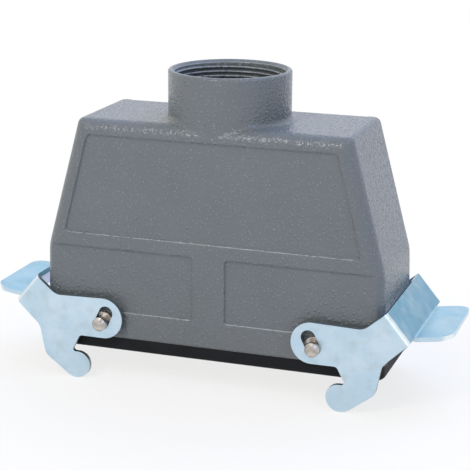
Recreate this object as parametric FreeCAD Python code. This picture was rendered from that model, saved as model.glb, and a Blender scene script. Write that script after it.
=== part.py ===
"""Rectangular cable connector: a hood with two locking levers and a 24-way pin insert.

Millimetres. X runs along the hood's length, Y across its depth with the front at -Y, and Z up.
The origin is the centre of the sealing face, the underside of the gasket.
"""
import FreeCAD, Part
import math
import os

V = FreeCAD.Vector

# Hood shell
rim_length = 120.0
hood_top_z = 79.4
top_length = 94.5
shoulder_inset = 0.85
side_draft = 0.5
shoulder_z = 34.8
shoulder_radius = 16.0
corner_radius = 4.5
roof_side_radius = 4.4
roof_end_radius = 2.2
wall = 2.8
inner_corner_radius = 2.2
rim_wall = 3.6
rim_band_height = 4.0

# Recessed panels in the long walls
panel_depth = 0.55
panel_bevel = 0.6
upper_panel_corner_radius = 1.6
upper_panel_below_top = 5.6
upper_panel_above_shoulder = 6.0
upper_panel_end_margin = 6.2
panel_band_height = 5.8
lower_panel_above_rim = 9.6
lower_panel_end_margin = 0.5
lower_panel_corner_radius = 1.0
rib_width = 12.7

# Cable neck with an internal thread, given by its major radius
thread_radius = 18.5
thread_length = 11.0
thread_mouth_chamfer = 0.9
neck_wall = 2.2
neck_height = 16.4
neck_base_fillet = 1.8
neck_rim_fillet = 0.8
neck_to_roof_edge = 0.3
cable_passage_step = 1.1

# Gasket
gasket_height = 4.5
gasket_edge_chamfer = 0.5
tongue_width = 1.2
tongue_height = 1.6
tongue_clearance = 0.05

# Lever pins
pin_from_end = 22.5
pin_above_rim = 5.6
pin_radius = 2.45
pin_head_radius = 3.8
pin_head_thickness = 1.2
pin_stick_out = 2.6
pin_end_chamfer = 0.7
pin_bore_clearance = 0.05
pin_axial_play = 0.1
pin_collar_radius = 3.5
pin_collar_thickness = 1.4
head_pocket_clearance = 0.5
head_seat_recess = 0.1

# Locking levers, in a side view with the pin axis at (0, 0), u outwards and w up
sheet = 1.5
bend_inner_radius = 0.8
lever_side_gap = 0.15
arm_end_half_height = 7.2
arm_end_flat = 0.2
arm_end_u = -0.45
arm_end_w = 1.8
slot_travel = 4.0
slot_lean_deg = 26.0
lever_stop_gap = 0.35
plate_corner_w = 13.5
plate_width = 12.2
plate_angle_deg = 50.0
throat_fall = 0.7
throat_radius = 5.0
waist_u = 23.0
waist_w = -3.3
waist_radius = 5.0
heel_u = 21.0
heel_radius = 4.0
nose_u = 9.5
nose_w = -15.8
nose_radius = 5.0
nose_slope_deg = 36.3
pocket_floor_w = -11.4
pocket_roof_rise = 0.1
pocket_roof_u = 8.0
pocket_back_u = 11.2
pocket_roof_radius = 1.5
pocket_back_radius = 0.9
tab_length = 12.1
tab_angle_deg = 8.0
tab_side_step = 5.15
tab_corner_radius = 5.5
tab_bend_radius = 1.0

# Pin insert
insert_face_z = 1.2
insert_clearance = 1.6
flange_above_pins = 2.1
flange_thickness = 4.0
flange_corner_radius = 3.0
shroud_to_fixing_head = 1.0
shroud_to_pin_head = 0.8
shroud_wall = 1.6
shroud_corner_radius = 3.0
terminal_block_end_step = 1.0
terminal_block_side_wall = 3.95
terminal_block_height = 13.6
terminal_block_radius = 1.2

# Contacts, two rows
contacts_per_row = 12
contact_end_margin = 6.8
row_spacing = 14.5
contact_pin_radius = 1.25
contact_tip_z = 4.0
contact_tip_chamfer = 0.6
contact_shank_radius = 2.1
contact_bore_clearance = 0.03
contact_seat_depth = 2.0
clamp_width = 5.2
clamp_depth = 6.6
clamp_height = 10.0
clamp_clearance = 0.15
wire_hole_radius = 1.5
wire_hole_depth = 8.0

# Screws
clamp_screw_radius = 1.4
clamp_screw_head_radius = 2.1
clamp_screw_head_height = 1.6
clamp_screw_below_top = 4.5
screw_access_clearance = 0.25
fixing_edge_distance = 3.6
fixing_screw_radius = 1.95
fixing_head_radius = 3.5
fixing_head_height = 2.6
fixing_screw_reach = 11.0
fixing_hole_clearance = 0.25
thread_fit_clearance = 0.03
screw_slot_width = 0.9
screw_slot_depth = 0.9
fixing_boss_radius = 4.2
fixing_boss_height = 14.0
boss_wall_overlap = 0.3
fixing_hole_spare = 2.0

# Earth plates and screws at the insert's ends
earth_plate_thickness = 1.0
earth_plate_width = 7.6
earth_plate_side_margin = 0.3
earth_screw_radius = 1.95
earth_screw_head_radius = 3.6
earth_screw_head_height = 2.4
earth_screw_depth = 3.4

# Values worked out from the ones above
rim_z = gasket_height
shoulder_length = rim_length - 2 * shoulder_inset
neck_radius = thread_radius + neck_wall
neck_top_z = hood_top_z + neck_height
cable_passage_radius = thread_radius - cable_passage_step
top_depth = 2 * (neck_radius + neck_to_roof_edge)
rim_depth = top_depth + 2 * side_draft
end_draft = shoulder_inset / (shoulder_z - rim_z)
end_lean = (shoulder_length - top_length) / 2 / (hood_top_z - shoulder_z)
side_lean = side_draft / (hood_top_z - rim_z)
upper_panel_top_z = hood_top_z - upper_panel_below_top
upper_panel_bottom_z = shoulder_z + upper_panel_above_shoulder
lower_panel_top_z = upper_panel_bottom_z - panel_band_height
lower_panel_bottom_z = rim_z + lower_panel_above_rim
lower_panel_end_x = rim_length / 2 - lower_panel_end_margin
pin_x = rim_length / 2 - pin_from_end
pin_z = rim_z + pin_above_rim
head_seat_y = rim_depth / 2 - wall - head_seat_recess
head_inner_y = head_seat_y - pin_axial_play - pin_head_thickness
slot_radius = pin_radius + pin_bore_clearance
arm_inner_y = rim_depth / 2 + pin_axial_play + pin_collar_thickness + lever_side_gap
arm_outer_y = arm_inner_y + sheet
arm_end_radius = arm_end_half_height - arm_end_flat
throat_w = arm_end_w + arm_end_half_height - throat_fall
pocket_roof_w = arm_end_w - arm_end_half_height + pocket_roof_rise
bend_outer_radius = bend_inner_radius + sheet
tab_half_width = arm_outer_y - bend_outer_radius - tab_side_step
flange_length = rim_length - 2 * (wall + insert_clearance)
flange_depth = rim_depth - 2 * (wall + insert_clearance)
flange_bottom_z = pin_z + pin_head_radius + flange_above_pins
flange_top_z = flange_bottom_z + flange_thickness
fixing_spacing_x = flange_length - 2 * fixing_edge_distance
fixing_spacing_y = flange_depth - 2 * fixing_edge_distance
shroud_length = fixing_spacing_x - 2 * (fixing_head_radius + shroud_to_fixing_head)
shroud_depth = 2 * (head_inner_y - shroud_to_pin_head)
terminal_block_length = shroud_length - 2 * terminal_block_end_step
terminal_block_depth = row_spacing + clamp_depth + 2 * terminal_block_side_wall
block_top_z = flange_top_z + terminal_block_height
contact_pitch = (shroud_length - 2 * contact_end_margin) / (contacts_per_row - 1)
boss_bottom_z = flange_top_z + earth_plate_thickness
earth_plate_depth = flange_depth - 2 * earth_plate_side_margin
reach = 200.0


def half_length_at(z):
    """Half the hood's outside length at a height, drafted up to the shoulder and leaning above."""
    drafted = rim_length / 2 - (min(z, shoulder_z) - rim_z) * end_draft
    return drafted - max(z - shoulder_z, 0.0) * end_lean


def half_depth_at(z):
    """Half the hood's outside depth at a height."""
    return rim_depth / 2 - (z - rim_z) * side_lean


def direction(angle_deg):
    """Unit vector in the u-w plane at an angle above the u axis."""
    angle = math.radians(angle_deg)
    return V(math.cos(angle), math.sin(angle), 0)


def corner_arc(before, corner, after, radius):
    """Start, middle and end of the arc that rounds a corner of an outline."""
    towards_before = (before - corner).normalize()
    towards_after = (after - corner).normalize()
    half_angle = towards_before.getAngle(towards_after) / 2
    setback = radius / math.tan(half_angle)
    bisector = (towards_before + towards_after).normalize()
    middle = corner + bisector * (radius / math.sin(half_angle) - radius)
    return corner + towards_before * setback, middle, corner + towards_after * setback


def rounded_outline(corners, place):
    """Closed wire through corners (u, v, radius). place maps a flat point into space."""
    points = [V(u, v, 0) for u, v, radius in corners]
    radii = [radius for u, v, radius in corners]
    count = len(points)
    arcs = []
    for i in range(count):
        if radii[i] > 0:
            arcs.append(corner_arc(points[i - 1], points[i], points[(i + 1) % count], radii[i]))
        else:
            arcs.append((points[i], points[i], points[i]))
    edges = []
    for i in range(count):
        start, middle, end = arcs[i]
        if radii[i] > 0:
            edges.append(Part.Arc(place(start), place(middle), place(end)).toShape())
        following = arcs[(i + 1) % count][0]
        if end.distanceToPoint(following) > 1e-4:
            edges.append(Part.makeLine(place(end), place(following)))
    return Part.Wire(edges)


def prism(corners, place, extent):
    """Solid made by extruding a rounded outline."""
    return Part.Face(rounded_outline(corners, place)).extrude(extent)


def rounded_block(length, depth, low_z, high_z, radius):
    """Block centred on the Z axis with rounded upright edges."""
    x = length / 2
    y = depth / 2
    corners = [(-x, -y, radius), (x, -y, radius), (x, y, radius), (-x, y, radius)]
    return prism(corners, lambda p: V(p.x, p.y, low_z), V(0, 0, high_z - low_z))


def block_between(low, high):
    """Box between two corner points."""
    return Part.makeBox(high.x - low.x, high.y - low.y, high.z - low.z, low)


def turned(profile):
    """Solid of revolution about the Z axis from (radius, z) points."""
    points = [V(r, 0, z) for r, z in profile]
    return Part.Face(Part.makePolygon(points + points[:1])).revolve(V(0, 0, 0), V(0, 0, 1), 360)


def laid_along_y(shape, x, z, sign):
    """Turn a piece made along +Z so that it points along +Y or -Y, and place it."""
    piece = shape.copy()
    piece.rotate(V(0, 0, 0), V(1, 0, 0), -90 * sign)
    piece.translate(V(x, 0, z))
    return piece


def long_wall_wedge(low_z, high_z, inset):
    """Everything between the front and back walls' faces, moved inwards by the inset."""
    low_y = half_depth_at(low_z) - inset
    high_y = half_depth_at(high_z) - inset
    corners = [(-low_y, low_z, 0), (low_y, low_z, 0), (high_y, high_z, 0), (-high_y, high_z, 0)]
    return prism(corners, lambda p: V(-reach / 2, p.x, p.y), V(reach, 0, 0))


def hood_block(inset, low_z, edge_radius, side_radius, end_radius):
    """The hood's outside form, or with an inset the form of its hollow."""
    draft_inset = inset * math.hypot(1, end_draft)
    lean_inset = inset * math.hypot(1, end_lean)
    bend_z = shoulder_z - (lean_inset - draft_inset) / (end_lean - end_draft)
    high_z = hood_top_z - inset
    low_x = half_length_at(low_z) - draft_inset
    bend_x = half_length_at(bend_z) - draft_inset
    high_x = half_length_at(high_z) - lean_inset
    corners = [
        (-low_x, low_z, 0),
        (low_x, low_z, 0),
        (bend_x, bend_z, shoulder_radius),
        (high_x, high_z, 0),
        (-high_x, high_z, 0),
        (-bend_x, bend_z, shoulder_radius),
    ]
    block = prism(corners, lambda p: V(p.x, -reach / 2, p.y), V(0, reach, 0))
    block = block.common(long_wall_wedge(low_z, high_z, inset))
    uprights = []
    for edge in block.Edges:
        ends = [vertex.Point for vertex in edge.Vertexes]
        if abs(ends[0].z - ends[1].z) > 0.1:
            uprights.append(edge)
    block = block.makeFillet(edge_radius, uprights)
    return roof_fillet(block, high_z, side_radius, end_radius)


def roof_fillet(block, high_z, side_radius, end_radius):
    """Fillet the roof's edge all round. Its radius changes evenly from the sides' to the ends'."""
    document = FreeCAD.newDocument("roof")
    sharp = document.addObject("Part::Feature", "sharp")
    sharp.Shape = block
    rounded = document.addObject("Part::Fillet", "rounded")
    rounded.Base = sharp
    rows = []
    for number, edge in enumerate(sharp.Shape.Edges, 1):
        first, last = edge.Vertexes[0].Point, edge.Vertexes[-1].Point
        if edge.BoundBox.ZMin < high_z - 0.01:
            continue
        if abs(first.y - last.y) < 0.01:
            rows.append((number, side_radius, side_radius))
        elif abs(first.x - last.x) < 0.01:
            rows.append((number, end_radius, end_radius))
        elif abs(first.y) > abs(last.y):
            rows.append((number, side_radius, end_radius))
        else:
            rows.append((number, end_radius, side_radius))
    rounded.Edges = rows
    document.recompute()
    result = rounded.Shape.copy()
    FreeCAD.closeDocument(document.Name)
    return result


def panel_tool(corners, side):
    """Cutter for one recessed panel with bevelled walls, on the front (-1) or back (1)."""
    def wire(depth, growth):
        def place(point):
            middle_u = sum(u for u, v, radius in corners) / len(corners)
            middle_v = sum(v for u, v, radius in corners) / len(corners)
            grown = V(point.x - middle_u, point.y - middle_v, 0)
            x = point.x + math.copysign(growth, grown.x)
            z = point.y + math.copysign(growth, grown.y)
            return V(x, side * (half_depth_at(z) - depth), z)
        return rounded_outline(corners, place)
    return Part.makeLoft([wire(-panel_depth, panel_bevel), wire(panel_depth, -panel_bevel)], True, True)


def upper_panel():
    """Outline of the large panel, parallel to the leaning ends."""
    top_x = half_length_at(upper_panel_top_z) - upper_panel_end_margin
    bottom_x = half_length_at(upper_panel_bottom_z) - upper_panel_end_margin
    radius = upper_panel_corner_radius
    return [
        (-bottom_x, upper_panel_bottom_z, radius),
        (bottom_x, upper_panel_bottom_z, radius),
        (top_x, upper_panel_top_z, radius),
        (-top_x, upper_panel_top_z, radius),
    ]


def lower_panel(end):
    """Outline of a lower panel, towards the -X end (-1) or the +X end (1)."""
    near = end * rib_width / 2
    far = end * lower_panel_end_x
    low_x = min(near, far)
    high_x = max(near, far)
    radius = lower_panel_corner_radius
    return [
        (low_x, lower_panel_bottom_z, radius),
        (high_x, lower_panel_bottom_z, radius),
        (high_x, lower_panel_top_z, radius),
        (low_x, lower_panel_top_z, radius),
    ]


def with_neck(block):
    """The hood's block with the neck on its roof and a concave fillet round the neck's foot."""
    root_z = hood_top_z - roof_side_radius - 0.5
    barrel = Part.makeCylinder(neck_radius, neck_top_z - root_z, V(0, 0, root_z))
    rim = [edge for edge in barrel.Edges if edge.BoundBox.ZMin > neck_top_z - 0.01]
    joined = block.fuse(barrel.makeFillet(neck_rim_fillet, rim))
    foot = [edge for edge in joined.Edges if runs_round_neck(edge)]
    return joined.makeFillet(neck_base_fillet, foot)


def runs_round_neck(edge):
    """Whether an edge runs round the neck's wall at the height of the roof."""
    points = edge.discretize(7)
    on_wall = all(abs(math.hypot(point.x, point.y) - neck_radius) < 0.001 for point in points)
    at_roof = all(point.z < hood_top_z + 0.01 for point in points)
    return on_wall and at_roof and abs(points[0].x - points[3].x) > 0.01


def neck_bore():
    """Thread bore, mouth chamfer and cable passage down into the hollow."""
    thread_bottom_z = neck_top_z - thread_mouth_chamfer - thread_length
    return turned([
        (0, hood_top_z - wall - 1),
        (cable_passage_radius, hood_top_z - wall - 1),
        (cable_passage_radius, thread_bottom_z - 0.5),
        (thread_radius, thread_bottom_z),
        (thread_radius, neck_top_z - thread_mouth_chamfer),
        (thread_radius + thread_mouth_chamfer, neck_top_z),
        (thread_radius + thread_mouth_chamfer, neck_top_z + 1),
        (0, neck_top_z + 1),
    ])


def fixing_points():
    """Centres of the four insert fixing screws."""
    x = fixing_spacing_x / 2
    y = fixing_spacing_y / 2
    return [(-x, -y), (x, -y), (x, y), (-x, y)]


def fixing_bosses():
    """Four corner bosses inside the hood, each grown out of the two walls beside it."""
    bosses = []
    for x, y in fixing_points():
        side_x = math.copysign(1, x)
        side_y = math.copysign(1, y)
        near_x = x - side_x * fixing_boss_radius
        near_y = y - side_y * fixing_boss_radius
        far_x = side_x * (shoulder_length / 2 - wall / 2 - boss_wall_overlap)
        far_y = side_y * (rim_depth / 2 - wall / 2 - boss_wall_overlap)
        corners = [
            (near_x, near_y, fixing_boss_radius * 0.8),
            (far_x, near_y, 0),
            (far_x, far_y, 0),
            (near_x, far_y, 0),
        ]
        boss = prism(corners, lambda p: V(p.x, p.y, boss_bottom_z), V(0, 0, fixing_boss_height))
        hole_depth = fixing_hole_depth()
        hole = Part.makeCylinder(
            fixing_screw_radius + thread_fit_clearance, hole_depth, V(x, y, boss_bottom_z)
        )
        bosses.append(boss.cut(hole))
    return bosses


def fixing_hole_depth():
    """Depth of the tapped holes above the earth plates."""
    return fixing_screw_reach + fixing_hole_spare


def pin_places():
    """Names and places of the four lever pins: x, and the side of the hood."""
    return [
        ("front_left", -pin_x, -1),
        ("front_right", pin_x, -1),
        ("rear_left", -pin_x, 1),
        ("rear_right", pin_x, 1),
    ]


def make_hood():
    """Die-cast shell with the neck, panels, rim groove, bosses and pin bores."""
    shell = with_neck(hood_block(0, rim_z, corner_radius, roof_side_radius, roof_end_radius))
    for side in (-1, 1):
        shell = shell.cut(panel_tool(upper_panel(), side))
        for end in (-1, 1):
            shell = shell.cut(panel_tool(lower_panel(end), side))
    hollow = hood_block(
        wall, rim_z + rim_band_height, inner_corner_radius, inner_corner_radius, inner_corner_radius
    )
    mouth = rounded_block(
        rim_length - 2 * rim_wall, rim_depth - 2 * rim_wall, rim_z - 1,
        rim_z + rim_band_height + 1, inner_corner_radius
    )
    shell = shell.cut(hollow).cut(mouth).cut(neck_bore())
    shell = shell.cut(tongue_ring(tongue_clearance))
    for boss in fixing_bosses():
        shell = shell.fuse(boss)
    for name, x, side in pin_places():
        bore = Part.makeCylinder(slot_radius, rim_depth, V(x, 0, pin_z), V(0, side, 0))
        seat = Part.makeCylinder(
            pin_head_radius + head_pocket_clearance, rim_wall, V(x, side * (head_seat_y - rim_wall), pin_z),
            V(0, side, 0)
        )
        shell = shell.cut(bore).cut(seat)
    return shell.removeSplitter()


def tongue_ring(clearance):
    """The gasket's tongue, or with a clearance the groove that it is pressed into."""
    middle = rim_wall / 2
    outer = middle - tongue_width / 2 - clearance
    inner = middle + tongue_width / 2 + clearance
    top_z = rim_z + tongue_height + clearance
    low_z = rim_z - gasket_height / 2
    outer_ring = rounded_block(
        rim_length - 2 * outer, rim_depth - 2 * outer, low_z, top_z, corner_radius - outer
    )
    inner_ring = rounded_block(
        rim_length - 2 * inner, rim_depth - 2 * inner, low_z - 1, top_z + 1, corner_radius - inner
    )
    return outer_ring.cut(inner_ring)


def make_gasket():
    """Rubber ring under the rim, with a tongue in the rim's groove."""
    ring = rounded_block(rim_length, rim_depth, 0, rim_z, corner_radius)
    foot = [edge for edge in ring.Edges if edge.BoundBox.ZMax < 0.01]
    ring = ring.makeChamfer(gasket_edge_chamfer, foot)
    mouth = rounded_block(
        rim_length - 2 * rim_wall, rim_depth - 2 * rim_wall, -1, rim_z + 1, inner_corner_radius
    )
    return ring.cut(mouth).fuse(tongue_ring(0)).removeSplitter()


def plate_corner():
    """Upper corner of the cross plate's outer face, in the lever's side view."""
    inner_u = rim_length / 2 + lever_stop_gap - pin_x
    return V(inner_u, plate_corner_w, 0) + direction(90 - plate_angle_deg) * sheet


def lever_side_corners():
    """Side outline of a lever's arms, round end first and hook after it."""
    across = direction(90 - plate_angle_deg)
    along = direction(-plate_angle_deg)
    plate_top = plate_corner()
    plate_low = plate_top + along * plate_width
    throat = plate_top - across * ((plate_top.y - throat_w) / across.y)
    end_u = arm_end_u - arm_end_half_height
    nose_low_w = nose_w - nose_radius
    nose_near_u = nose_u - nose_radius
    toe_u = nose_u + nose_radius * math.tan(math.radians(nose_slope_deg / 2))
    heel_w = nose_low_w + (heel_u - toe_u) * math.tan(math.radians(nose_slope_deg))
    return [
        (end_u, arm_end_w + arm_end_half_height, arm_end_radius),
        (end_u, arm_end_w - arm_end_half_height, arm_end_radius),
        (pocket_roof_u, pocket_roof_w, pocket_roof_radius),
        (pocket_back_u, pocket_floor_w, pocket_back_radius),
        (nose_near_u, pocket_floor_w, pocket_floor_w - nose_w),
        (nose_near_u, nose_low_w, nose_radius),
        (toe_u, nose_low_w, nose_radius),
        (heel_u, heel_w, heel_radius),
        (waist_u, waist_w, waist_radius),
        (plate_low.x, plate_low.y, 0),
        (plate_top.x, plate_top.y, 0),
        (throat.x, throat.y, throat_radius),
    ]


def lever_channel():
    """U-shaped channel, the sheet folded to two arms and a cross plate, longer than needed."""
    across = direction(90 - plate_angle_deg)
    along = direction(-plate_angle_deg)
    face_n = plate_corner().dot(across)
    start_t = -reach / 4

    def place(point):
        flat = across * point.y + along * start_t
        return V(pin_x + flat.x, point.x, pin_z + flat.y)

    inner_n = face_n - sheet
    far_n = -reach / 4
    corners = [
        (-arm_outer_y, far_n, 0),
        (-arm_outer_y, face_n, bend_outer_radius),
        (arm_outer_y, face_n, bend_outer_radius),
        (arm_outer_y, far_n, 0),
        (arm_inner_y, far_n, 0),
        (arm_inner_y, inner_n, bend_inner_radius),
        (-arm_inner_y, inner_n, bend_inner_radius),
        (-arm_inner_y, far_n, 0),
    ]
    run = along * (reach / 2)
    return prism(corners, place, V(run.x, 0, run.y))


def side_view(point, y):
    """Point of the lever's side view, set at a depth."""
    return V(pin_x + point.x, y, pin_z + point.y)


def lever_tab():
    """Finger tab folded outwards from the cross plate's lower edge."""
    along = direction(-plate_angle_deg)
    across = direction(90 - plate_angle_deg)
    outwards = direction(tab_angle_deg)
    upwards = direction(90 + tab_angle_deg)
    fold_top = plate_corner() + along * plate_width
    fold_angle = math.radians(tab_angle_deg + plate_angle_deg)
    fold_low = fold_top - across * sheet + along * (sheet * math.tan(fold_angle / 2))
    overlap = along * (tab_bend_radius + sheet) * 1.5
    tip_top = fold_top + outwards * tab_length
    strip = [
        (fold_top - overlap, 0),
        (fold_top, tab_bend_radius),
        (tip_top, 0),
        (tip_top - upwards * sheet, 0),
        (fold_low, tab_bend_radius + sheet),
        (fold_top - overlap - across * sheet, 0),
    ]
    corners = [(point.x, point.y, radius) for point, radius in strip]
    half_width = tab_half_width
    band = prism(corners, lambda p: side_view(p, -half_width), V(0, 2 * half_width, 0))
    root_u = (fold_top - overlap).x - sheet
    plan_corners = [
        (root_u, -half_width, 0),
        (tip_top.x, -half_width, tab_corner_radius),
        (tip_top.x, half_width, tab_corner_radius),
        (root_u, half_width, 0),
    ]
    plan = prism(plan_corners, lambda p: V(pin_x + p.x, p.y, -reach / 2), V(0, 0, reach))
    return band.common(plan)


def slot_cutter():
    """Long hole through both arms. The pin lies at its lower end."""
    travel = direction(90 + slot_lean_deg) * slot_travel
    across = direction(slot_lean_deg) * slot_radius
    along = direction(90 + slot_lean_deg) * slot_radius
    corners = [across - along, travel + across + along, travel - across + along, V(0, 0, 0) - across - along]
    flat = [(point.x, point.y, slot_radius) for point in corners]
    return prism(flat, lambda p: side_view(p, -reach / 2), V(0, reach, 0))


def make_lever_right():
    """One folded sheet: two hooked arms, a cross plate and a finger tab."""
    outline = prism(lever_side_corners(), lambda p: side_view(p, -reach / 2), V(0, reach, 0))
    lever = lever_channel().common(outline).cut(slot_cutter())
    return lever.fuse(lever_tab()).removeSplitter()


def make_pin(x, side):
    """Pivot pin with a collar between wall and lever arm, riveted over inside the long wall."""
    seat = head_inner_y + pin_head_thickness
    collar = rim_depth / 2 + pin_axial_play
    tip = arm_outer_y + pin_stick_out
    shape = turned([
        (0, head_inner_y),
        (pin_head_radius, head_inner_y),
        (pin_head_radius, seat),
        (pin_radius, seat),
        (pin_radius, collar),
        (pin_collar_radius, collar),
        (pin_collar_radius, collar + pin_collar_thickness),
        (pin_radius, collar + pin_collar_thickness),
        (pin_radius, tip - pin_end_chamfer),
        (pin_radius - pin_end_chamfer, tip),
        (0, tip),
    ])
    return laid_along_y(shape, x, pin_z, side)


def contact_places():
    """Number, x and row side of every contact, front row first."""
    places = []
    for row, side in enumerate((-1, 1)):
        for i in range(contacts_per_row):
            x = (i - (contacts_per_row - 1) / 2) * contact_pitch
            places.append((row * contacts_per_row + i + 1, x, side))
    return places


def clamp_bottom_z():
    """Height of the shoulder where a contact's clamp block sits in the insert."""
    return flange_bottom_z + contact_seat_depth + flange_thickness


def clamp_screw_z():
    """Height of the clamp screws."""
    return clamp_bottom_z() + clamp_height - clamp_screw_below_top


def make_contact(x, side):
    """Turned contact pin with a clamp block for the wire at its upper end."""
    y = side * row_spacing / 2
    seat_z = clamp_bottom_z()
    top_z = seat_z + clamp_height
    pin = turned([
        (0, contact_tip_z),
        (contact_pin_radius - contact_tip_chamfer, contact_tip_z),
        (contact_pin_radius, contact_tip_z + contact_tip_chamfer),
        (contact_pin_radius, flange_bottom_z + 0.5),
        (contact_shank_radius, flange_bottom_z + 0.5),
        (contact_shank_radius, seat_z + 0.5),
        (0, seat_z + 0.5),
    ])
    pin.translate(V(x, y, 0))
    half = V(clamp_width / 2, clamp_depth / 2, 0)
    clamp = block_between(V(x, y, seat_z) - half, V(x, y, top_z) + half)
    wire_hole = Part.makeCylinder(wire_hole_radius, wire_hole_depth, V(x, y, top_z - wire_hole_depth))
    screw_hole = Part.makeCylinder(
        clamp_screw_radius + thread_fit_clearance, clamp_depth, V(x, y, clamp_screw_z()), V(0, side, 0)
    )
    return clamp.cut(wire_hole).cut(screw_hole).fuse(pin).removeSplitter()


def make_clamp_screw(x, side):
    """Slotted screw that presses the wire, reached from the insert's long side."""
    face = row_spacing / 2 + clamp_depth / 2
    start = row_spacing / 2 + wire_hole_radius * 0.7
    head_top = face + clamp_screw_head_height
    shape = turned([
        (0, start),
        (clamp_screw_radius, start),
        (clamp_screw_radius, face),
        (clamp_screw_head_radius, face),
        (clamp_screw_head_radius, head_top),
        (0, head_top),
    ])
    return laid_along_y(slotted(shape, clamp_screw_head_radius, head_top), x, clamp_screw_z(), side)


def slotted(shape, head_radius, top):
    """Cut a driver slot across the top of a screw's head."""
    slot = block_between(
        V(-head_radius - 1, -screw_slot_width / 2, top - screw_slot_depth),
        V(head_radius + 1, screw_slot_width / 2, top + 1),
    )
    return shape.cut(slot)


def make_clamp_screws():
    """All the wire clamp screws."""
    return Part.makeCompound([make_clamp_screw(x, side) for number, x, side in contact_places()])


def make_fixing_screws():
    """Four screws from the mating side, through flange and earth plate into the hood."""
    length = flange_thickness + earth_plate_thickness + fixing_screw_reach
    shape = turned([
        (0, -length),
        (fixing_screw_radius, -length),
        (fixing_screw_radius, 0),
        (fixing_head_radius, 0),
        (fixing_head_radius, fixing_head_height),
        (0, fixing_head_height),
    ])
    shape = slotted(shape, fixing_head_radius, fixing_head_height)
    shape.rotate(V(0, 0, 0), V(1, 0, 0), 180)
    screws = []
    for x, y in fixing_points():
        screw = shape.copy()
        screw.translate(V(x, y, flange_bottom_z))
        screws.append(screw)
    return Part.makeCompound(screws)


def make_earth_plate(end):
    """Metal plate across one end of the flange, clamped under the hood's bosses."""
    middle_x = end * fixing_spacing_x / 2
    half = V(earth_plate_width / 2, earth_plate_depth / 2, 0)
    plate = block_between(V(middle_x, 0, flange_top_z) - half, V(middle_x, 0, boss_bottom_z) + half)
    for x, y in fixing_points():
        if x * end > 0:
            hole_radius = fixing_screw_radius + fixing_hole_clearance
            plate = plate.cut(Part.makeCylinder(hole_radius, earth_plate_thickness, V(x, y, flange_top_z)))
    centre_hole = Part.makeCylinder(
        earth_screw_radius + thread_fit_clearance, earth_plate_thickness, V(middle_x, 0, flange_top_z)
    )
    return plate.cut(centre_hole)


def make_earth_screws():
    """Earth wire screws, one in the middle of each earth plate."""
    shape = turned([
        (0, boss_bottom_z - earth_plate_thickness - earth_screw_depth),
        (earth_screw_radius, boss_bottom_z - earth_plate_thickness - earth_screw_depth),
        (earth_screw_radius, boss_bottom_z),
        (earth_screw_head_radius, boss_bottom_z),
        (earth_screw_head_radius, boss_bottom_z + earth_screw_head_height),
        (0, boss_bottom_z + earth_screw_head_height),
    ])
    shape = slotted(shape, earth_screw_head_radius, boss_bottom_z + earth_screw_head_height)
    screws = []
    for end in (-1, 1):
        screw = shape.copy()
        screw.translate(V(end * fixing_spacing_x / 2, 0, 0))
        screws.append(screw)
    return Part.makeCompound(screws)


def make_insert_body():
    """Moulded insert: flange, shroud round the pins and a block with a cell for each clamp."""
    body = rounded_block(flange_length, flange_depth, flange_bottom_z, flange_top_z, flange_corner_radius)
    shroud = rounded_block(shroud_length, shroud_depth, insert_face_z, flange_bottom_z, shroud_corner_radius)
    hollow = rounded_block(
        shroud_length - 2 * shroud_wall, shroud_depth - 2 * shroud_wall, insert_face_z - 1,
        flange_bottom_z, shroud_corner_radius - shroud_wall
    )
    block = rounded_block(
        terminal_block_length, terminal_block_depth, flange_top_z, block_top_z, terminal_block_radius
    )
    body = body.fuse(shroud.cut(hollow)).fuse(block)
    cutters = []
    for number, x, side in contact_places():
        y = side * row_spacing / 2
        half = V(clamp_width / 2 + clamp_clearance, clamp_depth / 2 + clamp_clearance, 0)
        cutters.append(block_between(V(x, y, clamp_bottom_z()) - half, V(x, y, block_top_z + 1) + half))
        cutters.append(Part.makeCylinder(
            contact_shank_radius + contact_bore_clearance, clamp_bottom_z() - flange_bottom_z + 2,
            V(x, y, flange_bottom_z - 1)
        ))
        cutters.append(Part.makeCylinder(
            clamp_screw_head_radius + screw_access_clearance, terminal_block_depth / 2,
            V(x, y, clamp_screw_z()), V(0, side, 0)
        ))
    for x, y in fixing_points():
        cutters.append(Part.makeCylinder(
            fixing_screw_radius + fixing_hole_clearance, flange_thickness + 2, V(x, y, flange_bottom_z - 1)
        ))
    for end in (-1, 1):
        cutters.append(Part.makeCylinder(
            earth_screw_radius + thread_fit_clearance, flange_thickness + 1,
            V(end * fixing_spacing_x / 2, 0, flange_top_z - earth_screw_depth)
        ))
    return body.cut(Part.makeCompound(cutters)).removeSplitter()


def save(shape, name):
    """Write one piece to its own file."""
    shape.exportStep("parts/" + name + ".step")


def main():
    """Build and write every piece."""
    os.makedirs("parts", exist_ok=True)
    save(make_hood(), "hood")
    save(make_gasket(), "gasket")
    lever = make_lever_right()
    save(lever, "lever_right")
    save(lever.mirror(V(0, 0, 0), V(1, 0, 0)), "lever_left")
    for name, x, side in pin_places():
        save(make_pin(x, side), "lever_pin_" + name)
    save(make_insert_body(), "insert_body")
    for number, x, side in contact_places():
        save(make_contact(x, side), "contact_%02d" % number)
    save(make_clamp_screws(), "wire_clamp_screws")
    save(make_fixing_screws(), "insert_fixing_screws")
    save(make_earth_plate(-1), "earth_plate_left")
    save(make_earth_plate(1), "earth_plate_right")
    save(make_earth_screws(), "earth_screws")


main()
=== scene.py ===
"""Finishes a rectangular cable connector hood: paint, plating, rubber, insert and cable thread.

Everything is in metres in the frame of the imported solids: X along the hood, the front at -Y,
Z up, and the origin in the middle of the sealing face.
"""

import logging
import math
from dataclasses import dataclass, field
from enum import Enum

import bmesh
import bpy
from mathutils import Matrix, Vector


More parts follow.
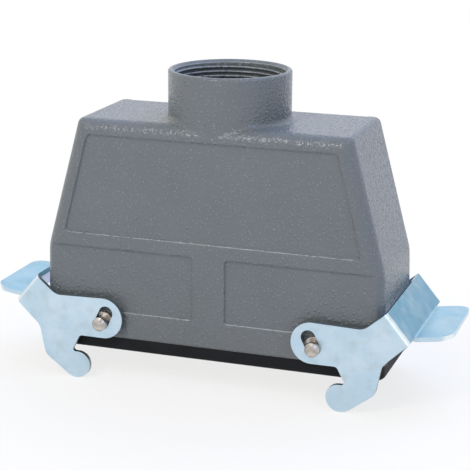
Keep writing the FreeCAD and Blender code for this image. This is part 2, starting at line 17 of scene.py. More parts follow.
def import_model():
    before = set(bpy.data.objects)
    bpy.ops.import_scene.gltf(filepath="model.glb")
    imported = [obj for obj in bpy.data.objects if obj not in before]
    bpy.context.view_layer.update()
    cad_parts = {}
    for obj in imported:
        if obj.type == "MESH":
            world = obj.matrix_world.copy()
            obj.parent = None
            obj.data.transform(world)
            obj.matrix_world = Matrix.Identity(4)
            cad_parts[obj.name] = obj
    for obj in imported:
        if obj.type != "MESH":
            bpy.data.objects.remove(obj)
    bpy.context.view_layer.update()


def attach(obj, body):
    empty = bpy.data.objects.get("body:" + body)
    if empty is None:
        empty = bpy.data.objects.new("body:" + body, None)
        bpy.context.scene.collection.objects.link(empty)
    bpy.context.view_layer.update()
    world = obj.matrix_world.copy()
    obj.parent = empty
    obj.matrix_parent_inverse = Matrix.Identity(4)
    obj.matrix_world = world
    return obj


log = logging.getLogger("connector")

MM = 0.001
# Width of the picture in pixels, and of the camera's sensor in millimetres.
IMAGE_WIDTH = 470
SENSOR_WIDTH = 36.0
WHITE = (1.0, 1.0, 1.0, 1.0)
# A built edge that bends by more than this many degrees stays sharp.
CREASE_ANGLE = 38.0
# Noise stays mostly within such a range, over which a tone or a gloss swings from end to end.
CLOUD_BAND = {"From Min": 0.35, "From Max": 0.65}
GRAIN_BAND = {"From Min": 0.3, "From Max": 0.7}


class End(Enum):
    """An end of the hood, as the sign of its X."""

    LEFT = -1
    RIGHT = 1


class Face(Enum):
    """A long face of the hood, as the sign of its Y."""

    FRONT = -1
    REAR = 1


def linear(hex_colour: str) -> tuple[float, float, float, float]:
    """Turn an sRGB hex colour to linear light.

    Args:
        hex_colour: The colour as "#RRGGBB".

    Returns:
        Linear red, green and blue, and an alpha of 1.
    """
    channels = [int(hex_colour[i:i + 2], 16) / 255 for i in (1, 3, 5)]
    red, green, blue = [
        c / 12.92 if c <= 0.04045 else ((c + 0.055) / 1.055) ** 2.4 for c in channels
    ]
    return red, green, blue, 1.0


def per_size(size_mm: float) -> float:
    """Scale of a pattern whose patches are size_mm wide, on coordinates in metres."""
    return 1 / (size_mm * MM)


def add_node(tree: bpy.types.NodeTree, kind: str, inputs: dict | None = None,
             **settings: object) -> bpy.types.Node:
    """Add a node with its settings, socket values and links.

    Args:
        tree: The node tree to add to.
        kind: The node's type, without the leading "ShaderNode".
        inputs: For each socket, by its name, or by its index where names repeat, its value, or
            the socket or node that it is linked from. A node stands for its first output in use.
        **settings: Properties of the node itself.

    Returns:
        The new node.
    """
    node = tree.nodes.new("ShaderNode" + kind)
    for name, value in settings.items():
        setattr(node, name, value)
    for key, value in (inputs or {}).items():
        if isinstance(key, int):
            socket = node.inputs[key]
        else:
            socket = next(s for s in node.inputs if s.enabled and s.name == key)
        if isinstance(value, bpy.types.Node):
            value = next(s for s in value.outputs if s.enabled)
        if isinstance(value, bpy.types.NodeSocket):
            tree.links.new(value, socket)
        else:
            socket.default_value = value
    return node


def new_material(name: str) -> tuple[bpy.types.Material, bpy.types.NodeTree, bpy.types.NodeSocket]:
    """Make an empty material that reads Object coordinates.

    Args:
        name: The material's name.

    Returns:
        The material, its node tree and the Object coordinate socket.
    """
    material = bpy.data.materials.new(name)
    material.use_nodes = True
    tree = material.node_tree
    tree.nodes.clear()
    return material, tree, add_node(tree, "TexCoord").outputs["Object"]


def dress(node_name: str, material: bpy.types.Material) -> None:
    """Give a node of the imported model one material.

    Args:
        node_name: The node's name.
        material: Its new material.
    """
    piece = bpy.data.objects[node_name]
    if not piece.material_slots:
        piece.data.materials.append(material)
    for slot in piece.material_slots:
        slot.material = material
    log.info("dressed %s in %s", node_name, material.name)


@dataclass(frozen=True)
class HammerPaint:
    """Grey polyester powder paint baked on die-cast aluminium.

    The powder pulls together as it melts, so the film rolls like orange peel and stands up in
    pimples about a millimetre apart. Their flanks catch points of light, and the film between
    them has a soft gloss. The pimple tops are also painted a lighter colour, a painted highlight
    for those points of light. The melt also flows round every edge, so no panel has a sharp
    border, and the narrow ledges that face up are painted pale, a painted highlight where light
    from above would catch them. The pimples are about as large as real ones, and big enough to
    show.

    A ledge is told by how much its rounded normal drops below the flat one, and by how far it
    faces up. Each of the two rises from nothing to all between its two values.
    """

    name: str = "grey_hammer_powder_paint"
    colour: str = "#7A7D7C"
    cloud_colour: str = "#767A79"
    pimple_highlight_colour: str = "#8C9193"
    ledge_highlight_colour: str = "#D4D9D9"
    pimple_spacing_mm: float = 1.2
    pimple_wander_mm: float = 0.5
    pimple_radius_mm: float = 0.55
    pimple_height_mm: float = 0.28
    smallest_pimple: float = 0.6
    peel_mm: float = 1.1
    peel_height_mm: float = 0.28
    cloud_mm: float = 20.0
    edge_round_mm: float = 1.2
    edge_samples: int = 16
    ledge_drop: tuple[float, float] = (0.1, 0.3)
    ledge_upward: tuple[float, float] = (0.4, 0.6)
    roughness: float = 0.22
    ior: float = 1.5

    def material(self) -> bpy.types.Material:
        """Make the paint.

        Returns:
            The material.
        """
        material, tree, place = new_material(self.name)
        rounded = add_node(tree, "Bevel", {
            "Radius": self.edge_round_mm * MM,
        }, samples=self.edge_samples)
        pimples = self.pimples(tree, place)
        peel = add_node(tree, "TexNoise", {
            "Vector": place, "Scale": per_size(self.peel_mm), "Detail": 1.0,
        })
        raised = add_node(tree, "Math", {
            0: pimples, 1: self.pimple_height_mm * MM,
        }, operation="MULTIPLY")
        relief = add_node(tree, "Math", {
            0: peel, 1: self.peel_height_mm * MM, 2: raised,
        }, operation="MULTIPLY_ADD")
        # The relief is in metres already, so its distance is 1.
        hammered = add_node(tree, "Bump", {"Height": relief, "Distance": 1.0, "Normal": rounded})
        cloud = add_node(tree, "TexNoise", {
            "Vector": place, "Scale": per_size(self.cloud_mm), "Detail": 3.0,
        })
        share = add_node(tree, "MapRange", {"Value": cloud, **CLOUD_BAND})
        tone = add_node(tree, "Mix", {
            "Factor": share, "A": linear(self.cloud_colour), "B": linear(self.colour),
        }, data_type="RGBA")
        # Painted highlight: the pimple tops are lighter, standing in for the glints on them.
        tone = add_node(tree, "Mix", {
            "Factor": pimples, "A": tone, "B": linear(self.pimple_highlight_colour),
        }, data_type="RGBA")
        # Painted highlight: the narrow ledges that face up are pale, where light from above would catch them.
        tone = add_node(tree, "Mix", {
            "Factor": self.ledges(tree, rounded), "A": tone, "B": linear(self.ledge_highlight_colour),
        }, data_type="RGBA")
        shader = add_node(tree, "BsdfPrincipled", {
            "Base Color": tone, "Roughness": self.roughness, "IOR": self.ior, "Normal": hammered,
        })
        add_node(tree, "OutputMaterial", {"Surface": shader})
        return material

    def pimples(self, tree: bpy.types.NodeTree, place: bpy.types.NodeSocket) -> bpy.types.Node:
        """Scatter the pimples, each a smooth dome of its own size and a wavering outline.

        Args:
            tree: The material's node tree.
            place: The Object coordinates.

        Returns:
            A node that is 0 between the pimples and up to 1 on top of the largest.
        """
        spacing = per_size(self.pimple_spacing_mm)
        stir = add_node(tree, "TexNoise", {"Vector": place, "Scale": spacing}).outputs["Color"]
        wander = self.pimple_wander_mm * MM
        strayed = add_node(tree, "VectorMath", {
            0: stir, 1: (wander, wander, wander), 2: place,
        }, operation="MULTIPLY_ADD")
        cells = add_node(tree, "TexVoronoi", {"Vector": strayed, "Scale": spacing}).outputs
        reach = self.pimple_radius_mm / self.pimple_spacing_mm
        dome = add_node(tree, "MapRange", {
            "Value": cells["Distance"],
            "From Min": 0.0, "From Max": reach, "To Min": 1.0, "To Max": 0.0,
        }, interpolation_type="SMOOTHSTEP")
        # The colour of a cell is random, and its red decides how large the pimple is.
        draw = add_node(tree, "SeparateXYZ", {"Vector": cells["Color"]})
        size = add_node(tree, "MapRange", {
            "Value": draw, "To Min": self.smallest_pimple, "To Max": 1.0,
        })
        return add_node(tree, "Math", {0: dome, 1: size}, operation="MULTIPLY")

    def ledges(self, tree: bpy.types.NodeTree, rounded: bpy.types.Node) -> bpy.types.Node:
        """Find the narrow ledges that face up between two walls, which get a painted highlight.

        Args:
            tree: The material's node tree.
            rounded: The surface's direction, rounded off at every edge.

        Returns:
            A node that is 1 on such ledges and 0 elsewhere.
        """
        flat = add_node(tree, "NewGeometry").outputs["True Normal"]
        turned = add_node(tree, "VectorMath", {0: flat, 1: rounded}, operation="SUBTRACT")
        drop = add_node(tree, "SeparateXYZ", {"Vector": turned}).outputs["Z"]
        upward = add_node(tree, "SeparateXYZ", {"Vector": flat}).outputs["Z"]
        least, full = self.ledge_drop
        bordered = add_node(tree, "MapRange", {
            "Value": drop, "From Min": least, "From Max": full,
        })
        least, full = self.ledge_upward
        facing_up = add_node(tree, "MapRange", {
            "Value": upward, "From Min": least, "From Max": full,
        })
        return add_node(tree, "Math", {0: bordered, 1: facing_up}, operation="MULTIPLY")


@dataclass(frozen=True)
class BlueZinc:
    """Zinc electroplate on pressed steel sheet, sealed with a thin pale blue passivation.

    The seal's colour is painted by the way each face points: pale on the upright arms, deeper
    blue on the plate and the tab, and violet blue on the plate's inner face. This is painted
    shade and painted reflection, for the darker and bluer light that these faces mirror. The fold
    between arm and plate is painted nearly white, a painted highlight of the bend. The seal is
    thin and paler in patches. Within each face the blue drifts to a straw tint. The sheared edge
    of an arm is darker and rougher. The rolled grain is drawn several times coarser than the
    real one, so that it shows.

    The painted shade colours run from faces that look down, at -1, to faces that look up, at 1.
    Each band holds two values, and its effect rises or fades between them. The patches and the
    straw tint read them off noise. The fold's painted highlight and the sheared edge read them
    off how far the surface faces to the front or the back, from 0 to 1. The arms lie more than
    arm_inner_mm from the middle.
    """

    name: str = "blue_passivated_zinc_on_sheet_steel"
    facing_shade_colours: tuple[tuple[float, str], ...] = (
        (-1.0, "#8FA9C0"),
        (-0.64, "#9DB0DC"),
        (-0.25, "#BED5E4"),
        (0.25, "#BED5E4"),
        (0.64, "#6DA3C2"),
        (0.99, "#9ACAE8"),
    )
    pale_and_fold_highlight_colour: str = "#FFFFFF"
    patch_paleness: float = 0.14
    patch_band: tuple[float, float] = (0.42, 0.66)
    fold_highlight_share: float = 0.6
    fold_start_band: tuple[float, float] = (0.12, 0.3)
    fold_end_band: tuple[float, float] = (0.78, 0.93)
    straw_colour: str = "#E9E4DC"
    straw_share: float = 0.6
    straw_band: tuple[float, float] = (0.5, 0.75)
    edge_colour: str = "#8D979B"
    edge_roughening: float = 0.15
    edge_band: tuple[float, float] = (0.1, 0.25)
    patch_mm: float = 9.0
    drift_mm: float = 5.0
    grain_mm: float = 0.5
    grain_height_mm: float = 0.002
    grain_stretch: float = 0.12
    roughness: float = 0.3
    roughness_swing: tuple[float, float] = (-0.03, 0.05)
    arm_inner_mm: float = 23.2

    def material(self) -> bpy.types.Material:
        """Make the plating.

        Returns:
            The material.
        """
        material, tree, place = new_material(self.name)
        normal = add_node(tree, "TexCoord").outputs["Normal"]
        facing = add_node(tree, "SeparateXYZ", {"Vector": normal}).outputs
        sideways = add_node(tree, "Math", {0: facing["Y"]}, operation="ABSOLUTE")
        edge = self.sheared_edge(tree, place, sideways)
        # The colour by facing is painted shade and painted reflection; the fold's painted highlight and the
        # thin patches pale it towards white.
        tone = add_node(tree, "Mix", {
            "Factor": self.paleness_and_fold_highlight(tree, place, sideways),
            "A": self.seal(tree, facing["Z"]),
            "B": linear(self.pale_and_fold_highlight_colour),
        }, data_type="RGBA")
        drift = add_node(tree, "TexNoise", {
            "Vector": place, "Scale": per_size(self.drift_mm), "Detail": 3.0, "Roughness": 0.6,
        })
        least, full = self.straw_band
        straw = add_node(tree, "MapRange", {
            "Value": drift,
            "From Min": least, "From Max": full, "To Min": 0.0, "To Max": self.straw_share,
        })
        tone = add_node(tree, "Mix", {
            "Factor": straw, "A": tone, "B": linear(self.straw_colour),
        }, data_type="RGBA", blend_type="MULTIPLY")
        tone = add_node(tree, "Mix", {
            "Factor": edge, "A": tone, "B": linear(self.edge_colour),
        }, data_type="RGBA")
        rolled = add_node(tree, "Mapping", {
            "Vector": place, "Scale": (self.grain_stretch, 1.0, 1.0),
        })
        grain = add_node(tree, "TexNoise", {
            "Vector": rolled, "Scale": per_size(self.grain_mm), "Detail": 3.0, "Roughness": 0.6,
        })
        glossier, duller = self.roughness_swing
        rough = add_node(tree, "MapRange", {
            "Value": grain, **GRAIN_BAND,
            "To Min": self.roughness + glossier, "To Max": self.roughness + duller,
        })
        rough = add_node(tree, "Math", {
            0: edge, 1: self.edge_roughening, 2: rough,
        }, operation="MULTIPLY_ADD")
        skin = add_node(tree, "Bump", {"Height": grain, "Distance": self.grain_height_mm * MM})
        shader = add_node(tree, "BsdfPrincipled", {
            "Base Color": tone, "Metallic": 1.0, "Roughness": rough, "Normal": skin,
        })
        add_node(tree, "OutputMaterial", {"Surface": shader})
        return material

    def seal(self, tree: bpy.types.NodeTree, facing_up: bpy.types.NodeSocket) -> bpy.types.Node:
        """Paint the seal's colour by the way that each face points, as painted shade and painted reflection.

        Args:
            tree: The material's node tree.
            facing_up: How far the surface faces up, from -1 to 1.

        Returns:
            A node that gives the seal's colour, painted by facing.
        """
        upward = add_node(tree, "MapRange", {
            "Value": facing_up, "From Min": -1.0, "From Max": 1.0,
        })
        ramp = add_node(tree, "ValToRGB", {"Fac": upward})
        stops = ramp.color_ramp.elements
        while len(stops) < len(self.facing_shade_colours):
            stops.new(1.0)
        for stop, (height, colour) in zip(stops, self.facing_shade_colours):
            stop.position = 0.5 + 0.5 * height
            stop.color = linear(colour)
        return ramp

    def paleness_and_fold_highlight(self, tree: bpy.types.NodeTree, place: bpy.types.NodeSocket,
                 sideways: bpy.types.Node) -> bpy.types.Node:
        """Find where the seal is thin, in patches, and the fold between arm and plate, which gets a painted
        highlight.

        Args:
            tree: The material's node tree.
            place: The Object coordinates.
            sideways: How far the surface faces to the front or the back, from 0 to 1.

        Returns:
            A node that gives the share of white: bare zinc in the patches, and painted highlight on the fold.
        """
        patches = add_node(tree, "TexNoise", {
            "Vector": place, "Scale": per_size(self.patch_mm), "Roughness": 0.6,
        })
        least, full = self.patch_band
        patches = add_node(tree, "MapRange", {
            "Value": patches,
            "From Min": least, "From Max": full, "To Min": 0.0, "To Max": self.patch_paleness,
        })
        # Painted highlight: the fold, whose facing lies between the plate's and the arm's, is painted nearly
        # white.
        least, full = self.fold_start_band
        off_plate = add_node(tree, "MapRange", {
            "Value": sideways, "From Min": least, "From Max": full,
        })
        full, least = self.fold_end_band
        off_arm = add_node(tree, "MapRange", {
            "Value": sideways,
            "From Min": full, "From Max": least, "To Min": 1.0, "To Max": 0.0,
        })
        fold = add_node(tree, "Math", {0: off_plate, 1: off_arm}, operation="MULTIPLY")
        return add_node(tree, "Math", {
            0: fold, 1: self.fold_highlight_share, 2: patches,
        }, operation="MULTIPLY_ADD")

    def sheared_edge(self, tree: bpy.types.NodeTree, place: bpy.types.NodeSocket,
                     sideways: bpy.types.Node) -> bpy.types.Node:
        """Tell the arms' sheared edges from the rolled faces.

        Args:
            tree: The material's node tree.
            place: The Object coordinates.
            sideways: How far the surface faces to the front or the back, from 0 to 1.

        Returns:
            A node that is 1 on the sheared edges of the arms and 0 elsewhere.
        """
        full, least = self.edge_band
        turned_away = add_node(tree, "MapRange", {
            "Value": sideways,
            "From Min": full, "From Max": least, "To Min": 1.0, "To Max": 0.0,
        })
        depth = add_node(tree, "SeparateXYZ", {"Vector": place}).outputs["Y"]
        off_middle = add_node(tree, "Math", {0: depth}, operation="ABSOLUTE")
        on_arm = add_node(tree, "Math", {
            0: off_middle, 1: self.arm_inner_mm * MM,
        }, operation="GREATER_THAN")
        return add_node(tree, "Math", {0: turned_away, 1: on_arm}, operation="MULTIPLY")


@dataclass(frozen=True)
class TurnedSteel:
    """Free-cutting steel as it leaves the lathe, slightly warm in tone.

    The tool leaves fine rings on the end face and along the shank, round the pin's axis. They
    are drawn about three times as wide as the tool's feed, so that they show. One axis serves
    all four pins, because the pattern is mirrored in X.
    """

    name: str = "turned_steel"
    colour: str = "#CBC4BE"
    dark_colour: str = "#A29A93"
    ring_mm: float = 0.35
    ring_height_mm: float = 0.008
    ring_strength: float = 0.6
    roughness: float = 0.32
    roughness_swing: tuple[float, float] = (-0.06, 0.08)
    stain_mm: float = 1.6
    stain_band: tuple[float, float] = (0.35, 0.7)
    axis_x_mm: float = 37.5
    axis_z_mm: float = 10.1

    def material(self) -> bpy.types.Material:
        """Make the steel.

        Returns:
            The material.
        """
        material, tree, place = new_material(self.name)
        parts = add_node(tree, "SeparateXYZ", {"Vector": place}).outputs
        mirrored = add_node(tree, "Math", {0: parts["X"]}, operation="ABSOLUTE")
        off_x = add_node(tree, "Math", {
            0: mirrored, 1: self.axis_x_mm * MM,
        }, operation="SUBTRACT")
        off_z = add_node(tree, "Math", {
            0: parts["Z"], 1: self.axis_z_mm * MM,
        }, operation="SUBTRACT")
        flat = add_node(tree, "CombineXYZ", {"X": off_x, "Y": off_z, "Z": 0.0})
        radius = add_node(tree, "VectorMath", {0: flat}, operation="LENGTH").outputs["Value"]
        along = add_node(tree, "Math", {0: radius, 1: parts["Y"]}, operation="ADD")
        turns = add_node(tree, "Math", {
            0: along, 1: 2 * math.pi * per_size(self.ring_mm),
        }, operation="MULTIPLY")
        rings = add_node(tree, "Math", {0: turns}, operation="SINE")
        skin = add_node(tree, "Bump", {
            "Height": rings, "Distance": self.ring_height_mm * MM, "Strength": self.ring_strength,
        })
        stain = add_node(tree, "TexNoise", {
            "Vector": place, "Scale": per_size(self.stain_mm), "Detail": 3.0,
        })
        least, full = self.stain_band
        share = add_node(tree, "MapRange", {"Value": stain, "From Min": least, "From Max": full})
        tone = add_node(tree, "Mix", {
            "Factor": share, "A": linear(self.colour), "B": linear(self.dark_colour),
        }, data_type="RGBA")
        glossier, duller = self.roughness_swing
        rough = add_node(tree, "MapRange", {
            "Value": stain, **GRAIN_BAND,
            "To Min": self.roughness + glossier, "To Max": self.roughness + duller,
        })
        shader = add_node(tree, "BsdfPrincipled", {
            "Base Color": tone, "Metallic": 1.0, "Roughness": rough, "Normal": skin,
        })
        add_node(tree, "OutputMaterial", {"Surface": shader})
        return material


@dataclass(frozen=True)
class PlainSkin:
    """A moulded or plated skin: one colour with faint clouds and a fine grain.

    The grain is drawn a few tenths of a millimetre wide, coarser than the real one, to show.
    """

    name: str
    colour: str
    cloud_colour: str
    roughness: float
    grain_mm: float
    grain_height_mm: float
    roughness_swing: tuple[float, float] = (-0.05, 0.07)
    metallic: float = 0.0
    ior: float = 1.5
    gloss: float = 0.5
    cloud_mm: float = 6.0

    def material(self) -> bpy.types.Material:
        """Make the finish.

        Returns:
            The material.
        """
        material, tree, place = new_material(self.name)
        cloud = add_node(tree, "TexNoise", {
            "Vector": place, "Scale": per_size(self.cloud_mm), "Detail": 3.0,
        })
        share = add_node(tree, "MapRange", {"Value": cloud, **CLOUD_BAND})
        tone = add_node(tree, "Mix", {
            "Factor": share, "A": linear(self.colour), "B": linear(self.cloud_colour),
        }, data_type="RGBA")
        grain = add_node(tree, "TexNoise", {"Vector": place, "Scale": per_size(self.grain_mm)})
        glossier, duller = self.roughness_swing
        rough = add_node(tree, "MapRange", {
            "Value": grain, **GRAIN_BAND,
            "To Min": self.roughness + glossier, "To Max": self.roughness + duller,
        })
        skin = add_node(tree, "Bump", {"Height": grain, "Distance": self.grain_height_mm * MM})
        shader = add_node(tree, "BsdfPrincipled", {
            "Base Color": tone, "Metallic": self.metallic, "Roughness": rough, "Normal": skin,
        })
        if self.metallic == 0.0:
            shader.inputs["IOR"].default_value = self.ior
            shader.inputs["Specular IOR Level"].default_value = self.gloss
        add_node(tree, "OutputMaterial", {"Surface": shader})
        return material


# Nitrile rubber, pressed in a steel mould: black and matt, greyer where light grazes it.
GASKET_RUBBER = PlainSkin(
    "black_nitrile_rubber", "#131417", "#18191C",
    roughness=0.6, grain_mm=0.35, grain_height_mm=0.01, gloss=0.2,
)
# Glass-filled polycarbonate: light grey, with the fine haze that the glass leaves on the skin.
INSERT_PLASTIC = PlainSkin(
    "light_grey_polycarbonate", "#B9B8AE", "#B1B0A6",
    roughness=0.42, grain_mm=0.25, grain_height_mm=0.006, ior=1.58,
)
# Silver plate on a turned copper alloy pin: bright and warm, faintly tarnished in clouds.
CONTACT_SILVER = PlainSkin(
    "silver_plated_contact", "#DAD5C9", "#C9C2B2",
    roughness=0.24, grain_mm=0.3, grain_height_mm=0.002, metallic=1.0, cloud_mm=2.5,
)
# Bright zinc on small screws, clouded a little by handling.
SCREW_ZINC = PlainSkin(
    "zinc_plated_screw_steel", "#BFC4C6", "#AEB4B8",
    roughness=0.28, grain_mm=0.2, grain_height_mm=0.003, metallic=1.0, cloud_mm=2.0,
)
# Plated steel strip with a rolled skin, of a warmer tint than the screws.
EARTH_STRIP = PlainSkin(
    "plated_earth_strip", "#C4BFAE", "#B5AF9B",
    roughness=0.34, grain_mm=0.4, grain_height_mm=0.003, metallic=1.0, cloud_mm=4.0,
)


def new_piece(name: str, mesh: bmesh.types.BMesh, material: bpy.types.Material, body: str) -> bpy.types.Object:
    """Make an object of a finished mesh and hang it on a body.

    Args:
        name: The piece's name.
        mesh: Its finished mesh, in the row frame. It is freed here.
        material: Its material.
        body: The body that it moves with.

    Returns:
        The object.
    """
    data = bpy.data.meshes.new(name)
    for face in mesh.faces:
        face.smooth = True
    mesh.to_mesh(data)
    mesh.free()
    data.set_sharp_from_angle(angle=math.radians(CREASE_ANGLE))
    data.materials.append(material)
    piece = bpy.data.objects.new(name, data)
    bpy.context.scene.collection.objects.link(piece)
    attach(piece, body)
    log.info("built %s on %s: %d faces", name, body, len(data.polygons))
    return piece


@dataclass
class CableThread:
    """The thread inside the cable neck, as one helical ridge on the neck's bored wall.

    Sizes are in millimetres. The ridge's foot stands a little inside the wall, so no gap shows.
    """

    major_radius: float = 18.5
    minor_radius: float = 17.78
    pitch: float = 1.5875
    first_turn_z: float = 84.9
    turns: float = 6.0
    steps_a_turn: int = 96
    foot_depth: float = 0.12
    foot_width: float = 1.5
    crest_width: float = 0.3
    run_out_turns: float = 0.2
    body: str = "hood"

    def build(self, paint: bpy.types.Material) -> bpy.types.Object:
        """Spin the ridge and lay its two ends down into the wall.

        Args:
            paint: The hood's paint, which covers the thread too.

        Returns:
            The finished ridge.
        """
        mesh = bmesh.new()
        foot = (self.major_radius + self.foot_depth) * MM
        crest = self.minor_radius * MM
        low = self.first_turn_z * MM
        wide = 0.5 * self.foot_width * MM
        narrow = 0.5 * self.crest_width * MM
        outline = [
            mesh.verts.new((foot, 0.0, low - wide)),
            mesh.verts.new((crest, 0.0, low - narrow)),
            mesh.verts.new((crest, 0.0, low + narrow)),
            mesh.verts.new((foot, 0.0, low + wide)),
        ]
        # The outline's face is made for its four edges, which stay and are spun.
        bmesh.ops.contextual_create(mesh, geom=outline)
        bmesh.ops.delete(mesh, geom=mesh.faces[:], context="FACES_ONLY")
        steps = int(self.turns * self.steps_a_turn)
        bmesh.ops.spin(
            mesh, geom=[*outline, *mesh.edges], cent=(0, 0, 0), axis=(0, 0, 1),
            dvec=(0, 0, self.turns * self.pitch * MM / steps), angle=self.turns * 2 * math.pi,
            steps=steps, use_merge=False, use_duplicate=False,
        )
        self.fade_ends(mesh)
        bmesh.ops.holes_fill(mesh, edges=[edge for edge in mesh.edges if edge.is_boundary])
        bmesh.ops.recalc_face_normals(mesh, faces=mesh.faces)
        return new_piece("cable_thread", mesh, paint, self.body)

    def fade_ends(self, mesh: bmesh.types.BMesh) -> None:
        """Sink the crest into the wall over the first and last part of a turn.

        Args:
            mesh: The spun ridge.
        """
        start_z = self.first_turn_z * MM
        rise = self.pitch * MM
        run_out = self.run_out_turns * rise
        wall = (self.major_radius + 0.5 * self.foot_depth) * MM
        for vert in mesh.verts:
            radius = math.hypot(vert.co.x, vert.co.y)
            if radius > self.major_radius * MM:
                continue
            turn = math.atan2(vert.co.y, vert.co.x) / (2 * math.pi) % 1.0
            height = vert.co.z - start_z
            # How far the helix has climbed here, without the ridge's own height.
            done = round(height / rise - turn) * rise + turn * rise
            share = min(1.0, max(0.0, min(done, self.turns * rise - done)) / run_out)
            scale = (wall + (radius - wall) * share) / radius
            vert.co.x *= scale
            vert.co.y *= scale


@dataclass
class Hood:
    """The die-cast hood, its cable thread and the gasket under its rim."""

    paint: HammerPaint = field(default_factory=HammerPaint)
    thread: CableThread = field(default_factory=CableThread)

    def build(self) -> None:
        """Dress the shell and the gasket and add the thread."""
        paint = self.paint.material()
        dress("hood", paint)
        self.thread.build(paint)
        dress("gasket", GASKET_RUBBER.material())


@dataclass
class LockingLevers:
    """The two pressed levers and the four pins that they turn and slide on."""

    plating: BlueZinc = field(default_factory=BlueZinc)
    pin_steel: TurnedSteel = field(default_factory=TurnedSteel)

    def build(self) -> None:
        """Dress both levers and their pins."""
        plating = self.plating.material()
        steel = self.pin_steel.material()
        for end in End:
            dress("lever_" + end.name.lower(), plating)
            for face in Face:
                dress("lever_pin_%s_%s" % (face.name.lower(), end.name.lower()), steel)


@dataclass
class PinInsert:
    """The moulded insert with its contacts, screws and earth plates."""

    contacts: int = 24

    def build(self) -> None:
        """Dress the insert and everything that it carries."""
        dress("insert_body", INSERT_PLASTIC.material())
        silver = CONTACT_SILVER.material()
        for number in range(1, self.contacts + 1):
            dress("contact_%02d" % number, silver)
        zinc = SCREW_ZINC.material()
        for name in ("wire_clamp_screws", "insert_fixing_screws", "earth_screws"):
            dress(name, zinc)
        strip = EARTH_STRIP.material()
        for end in End:
            dress("earth_plate_" + end.name.lower(), strip)


@dataclass(frozen=True)
class Softbox:
    """A rectangular lamp, placed and aimed in metres. No gloss shows one that isn't mirrored."""

    name: str
    place: tuple[float, float, float]
    aim: tuple[float, float, float]
    size: tuple[float, float]
    watts: float
    colour: str = "#FFFFFF"
    mirrored: bool = True

    def build(self) -> None:
        """Hang the lamp and turn it to its aim."""
        lamp = bpy.data.lights.new(self.name, "AREA")
        lamp.shape = "RECTANGLE"
        lamp.size, lamp.size_y = self.size
        lamp.energy = self.watts
        lamp.color = linear(self.colour)[:3]
        holder = bpy.data.objects.new(self.name, lamp)
        bpy.context.scene.collection.objects.link(holder)
        holder.visible_glossy = self.mirrored
        holder.location = self.place
        towards = Vector(self.aim) - Vector(self.place)
        holder.rotation_euler = towards.to_track_quat("-Z", "Y").to_euler()
        log.info("lamp %s", self.name)


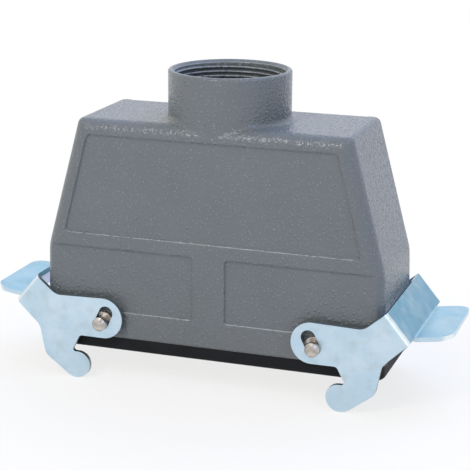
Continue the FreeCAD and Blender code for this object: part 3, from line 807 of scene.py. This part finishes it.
@dataclass
class Studio:
    """Pale floor, soft lamps and the camera. Angles are in degrees and lengths in metres.

    The camera looks at the target from the photograph's angle. Its focal length is given in
    pixels of the picture.

    The floor lies under the levers' hooks, on which the hood stands. It shows its card near the
    hood only, by shadow_share, which fades to nothing between the two distances of shadow_reach.
    """

    floor_z: float = -0.0107
    floor_reach: float = 4.0
    floor_colour: str = "#FFF9F0"
    shadow_share: float = 0.22
    shadow_reach: tuple[float, float] = (0.06, 0.14)
    room_strength: float = 0.38
    focal_pixels: float = 1549.42
    azimuth: float = 18.86
    tilt: float = 15.62
    roll: float = 0.39
    target: tuple[float, float, float] = (0.00204, 0.0, 0.03855)
    distance: float = 0.52944
    lamps: tuple[Softbox, ...] = (
        Softbox(
            "left_softbox", place=(-0.190, -0.587, 0.595), aim=(0.0, 0.0, 0.04),
            size=(0.12, 0.42), watts=1.9,
        ),
        Softbox(
            "right_softbox", place=(0.560, -0.340, 0.590), aim=(0.0, 0.0, 0.04),
            size=(0.12, 0.40), watts=1.05, colour="#7FB2FF",
        ),
        Softbox(
            "top_softbox", place=(0.10, 0.45, 0.80), aim=(0.0, 0.0, 0.06),
            size=(0.9, 0.7), watts=8.8, colour="#9FBFFF", mirrored=False,
        ),
    )

    def build(self) -> None:
        """Lay the floor, light the room and set up the camera."""
        self.lay_floor()
        self.light_room()
        for lamp in self.lamps:
            lamp.build()
        self.place_camera()
        bpy.context.scene.view_settings.view_transform = "Standard"

    def seen_directly(self, tree: bpy.types.NodeTree) -> bpy.types.Node:
        """Tell whether a ray comes from the camera, or by a mirror or through glass.

        Args:
            tree: The node tree to add to.

        Returns:
            A node that is 1 for such rays and 0 for all others.
        """
        rays = add_node(tree, "LightPath").outputs
        either = add_node(tree, "Math", {
            0: rays["Is Camera Ray"], 1: rays["Is Glossy Ray"],
        }, operation="MAXIMUM")
        return add_node(tree, "Math", {
            0: either, 1: rays["Is Transmission Ray"],
        }, operation="MAXIMUM")

    def lay_floor(self) -> None:
        """Lay a pale floor that keeps a soft shadow and lets the eye through to the white room.

        So a lever that is swung below the plane that the hood stands on can still be seen.
        """
        mesh = bmesh.new()
        bmesh.ops.create_grid(mesh, x_segments=1, y_segments=1, size=self.floor_reach)
        bmesh.ops.translate(mesh, vec=(0, 0, self.floor_z), verts=mesh.verts)
        data = bpy.data.meshes.new("floor")
        mesh.to_mesh(data)
        mesh.free()
        floor = bpy.data.objects.new("floor", data)
        bpy.context.scene.collection.objects.link(floor)
        data.materials.append(self.floor_card())
        log.info("floor laid")

    def floor_card(self) -> bpy.types.Material:
        """Make the floor's matt card. Its shadow fades out with the distance from the hood.

        Returns:
            The material.
        """
        material, tree, place = new_material("matt_white_card")
        card = add_node(tree, "BsdfDiffuse", {"Color": linear(self.floor_colour), "Roughness": 0.5})
        clear = add_node(tree, "BsdfTransparent", {"Color": WHITE})
        flat = add_node(tree, "VectorMath", {0: place, 1: (1.0, 1.0, 0.0)}, operation="MULTIPLY")
        away = add_node(tree, "VectorMath", {0: flat}, operation="LENGTH").outputs["Value"]
        near, far = self.shadow_reach
        bare = add_node(tree, "MapRange", {
            "Value": away,
            "From Min": near, "From Max": far, "To Min": 1.0 - self.shadow_share, "To Max": 1.0,
        }, interpolation_type="SMOOTHSTEP")
        share = add_node(tree, "Math", {
            0: self.seen_directly(tree), 1: bare,
        }, operation="MULTIPLY")
        below = add_node(tree, "NewGeometry").outputs["Backfacing"]
        share = add_node(tree, "Math", {0: share, 1: below}, operation="MAXIMUM")
        mixed = add_node(tree, "MixShader", {"Fac": share, 1: card, 2: clear})
        add_node(tree, "OutputMaterial", {"Surface": mixed})
        return material

    def light_room(self) -> None:
        """Light the room evenly, white where it is seen or mirrored."""
        world = bpy.data.worlds.new("white_room")
        bpy.context.scene.world = world
        world.use_nodes = True
        tree = world.node_tree
        tree.nodes.clear()
        strength = add_node(tree, "MapRange", {
            "Value": self.seen_directly(tree), "To Min": self.room_strength, "To Max": 1.0,
        })
        room = add_node(tree, "Background", {"Color": WHITE, "Strength": strength})
        add_node(tree, "OutputWorld", {"Surface": room})

    def place_camera(self) -> None:
        """Put the camera at the photograph's angle."""
        turn, tip, lean = (math.radians(a) for a in (self.azimuth, self.tilt, self.roll))
        forward = Vector((
            -math.sin(turn) * math.cos(tip), math.cos(turn) * math.cos(tip), -math.sin(tip),
        ))
        level = Vector((math.cos(turn), math.sin(turn), 0.0))
        upright = level.cross(forward)
        right = math.cos(lean) * level + math.sin(lean) * upright
        up = -math.sin(lean) * level + math.cos(lean) * upright
        lens = bpy.data.cameras.new("camera")
        lens.sensor_width = SENSOR_WIDTH
        lens.lens = self.focal_pixels * SENSOR_WIDTH / IMAGE_WIDTH
        lens.clip_start = 0.01
        camera = bpy.data.objects.new("camera", lens)
        bpy.context.scene.collection.objects.link(camera)
        camera.location = Vector(self.target) - forward * self.distance
        camera.rotation_euler = Matrix((right, up, -forward)).transposed().to_euler()
        bpy.context.scene.camera = camera
        log.info("camera at %s", tuple(round(v, 3) for v in camera.location))


def main() -> None:
    """Dress the connector, piece by piece, and set it in the studio."""
    logging.basicConfig(level=logging.INFO, format="%(message)s")
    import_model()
    Hood().build()
    LockingLevers().build()
    PinInsert().build()
    Studio().build()


if __name__ == "__main__":
    main()
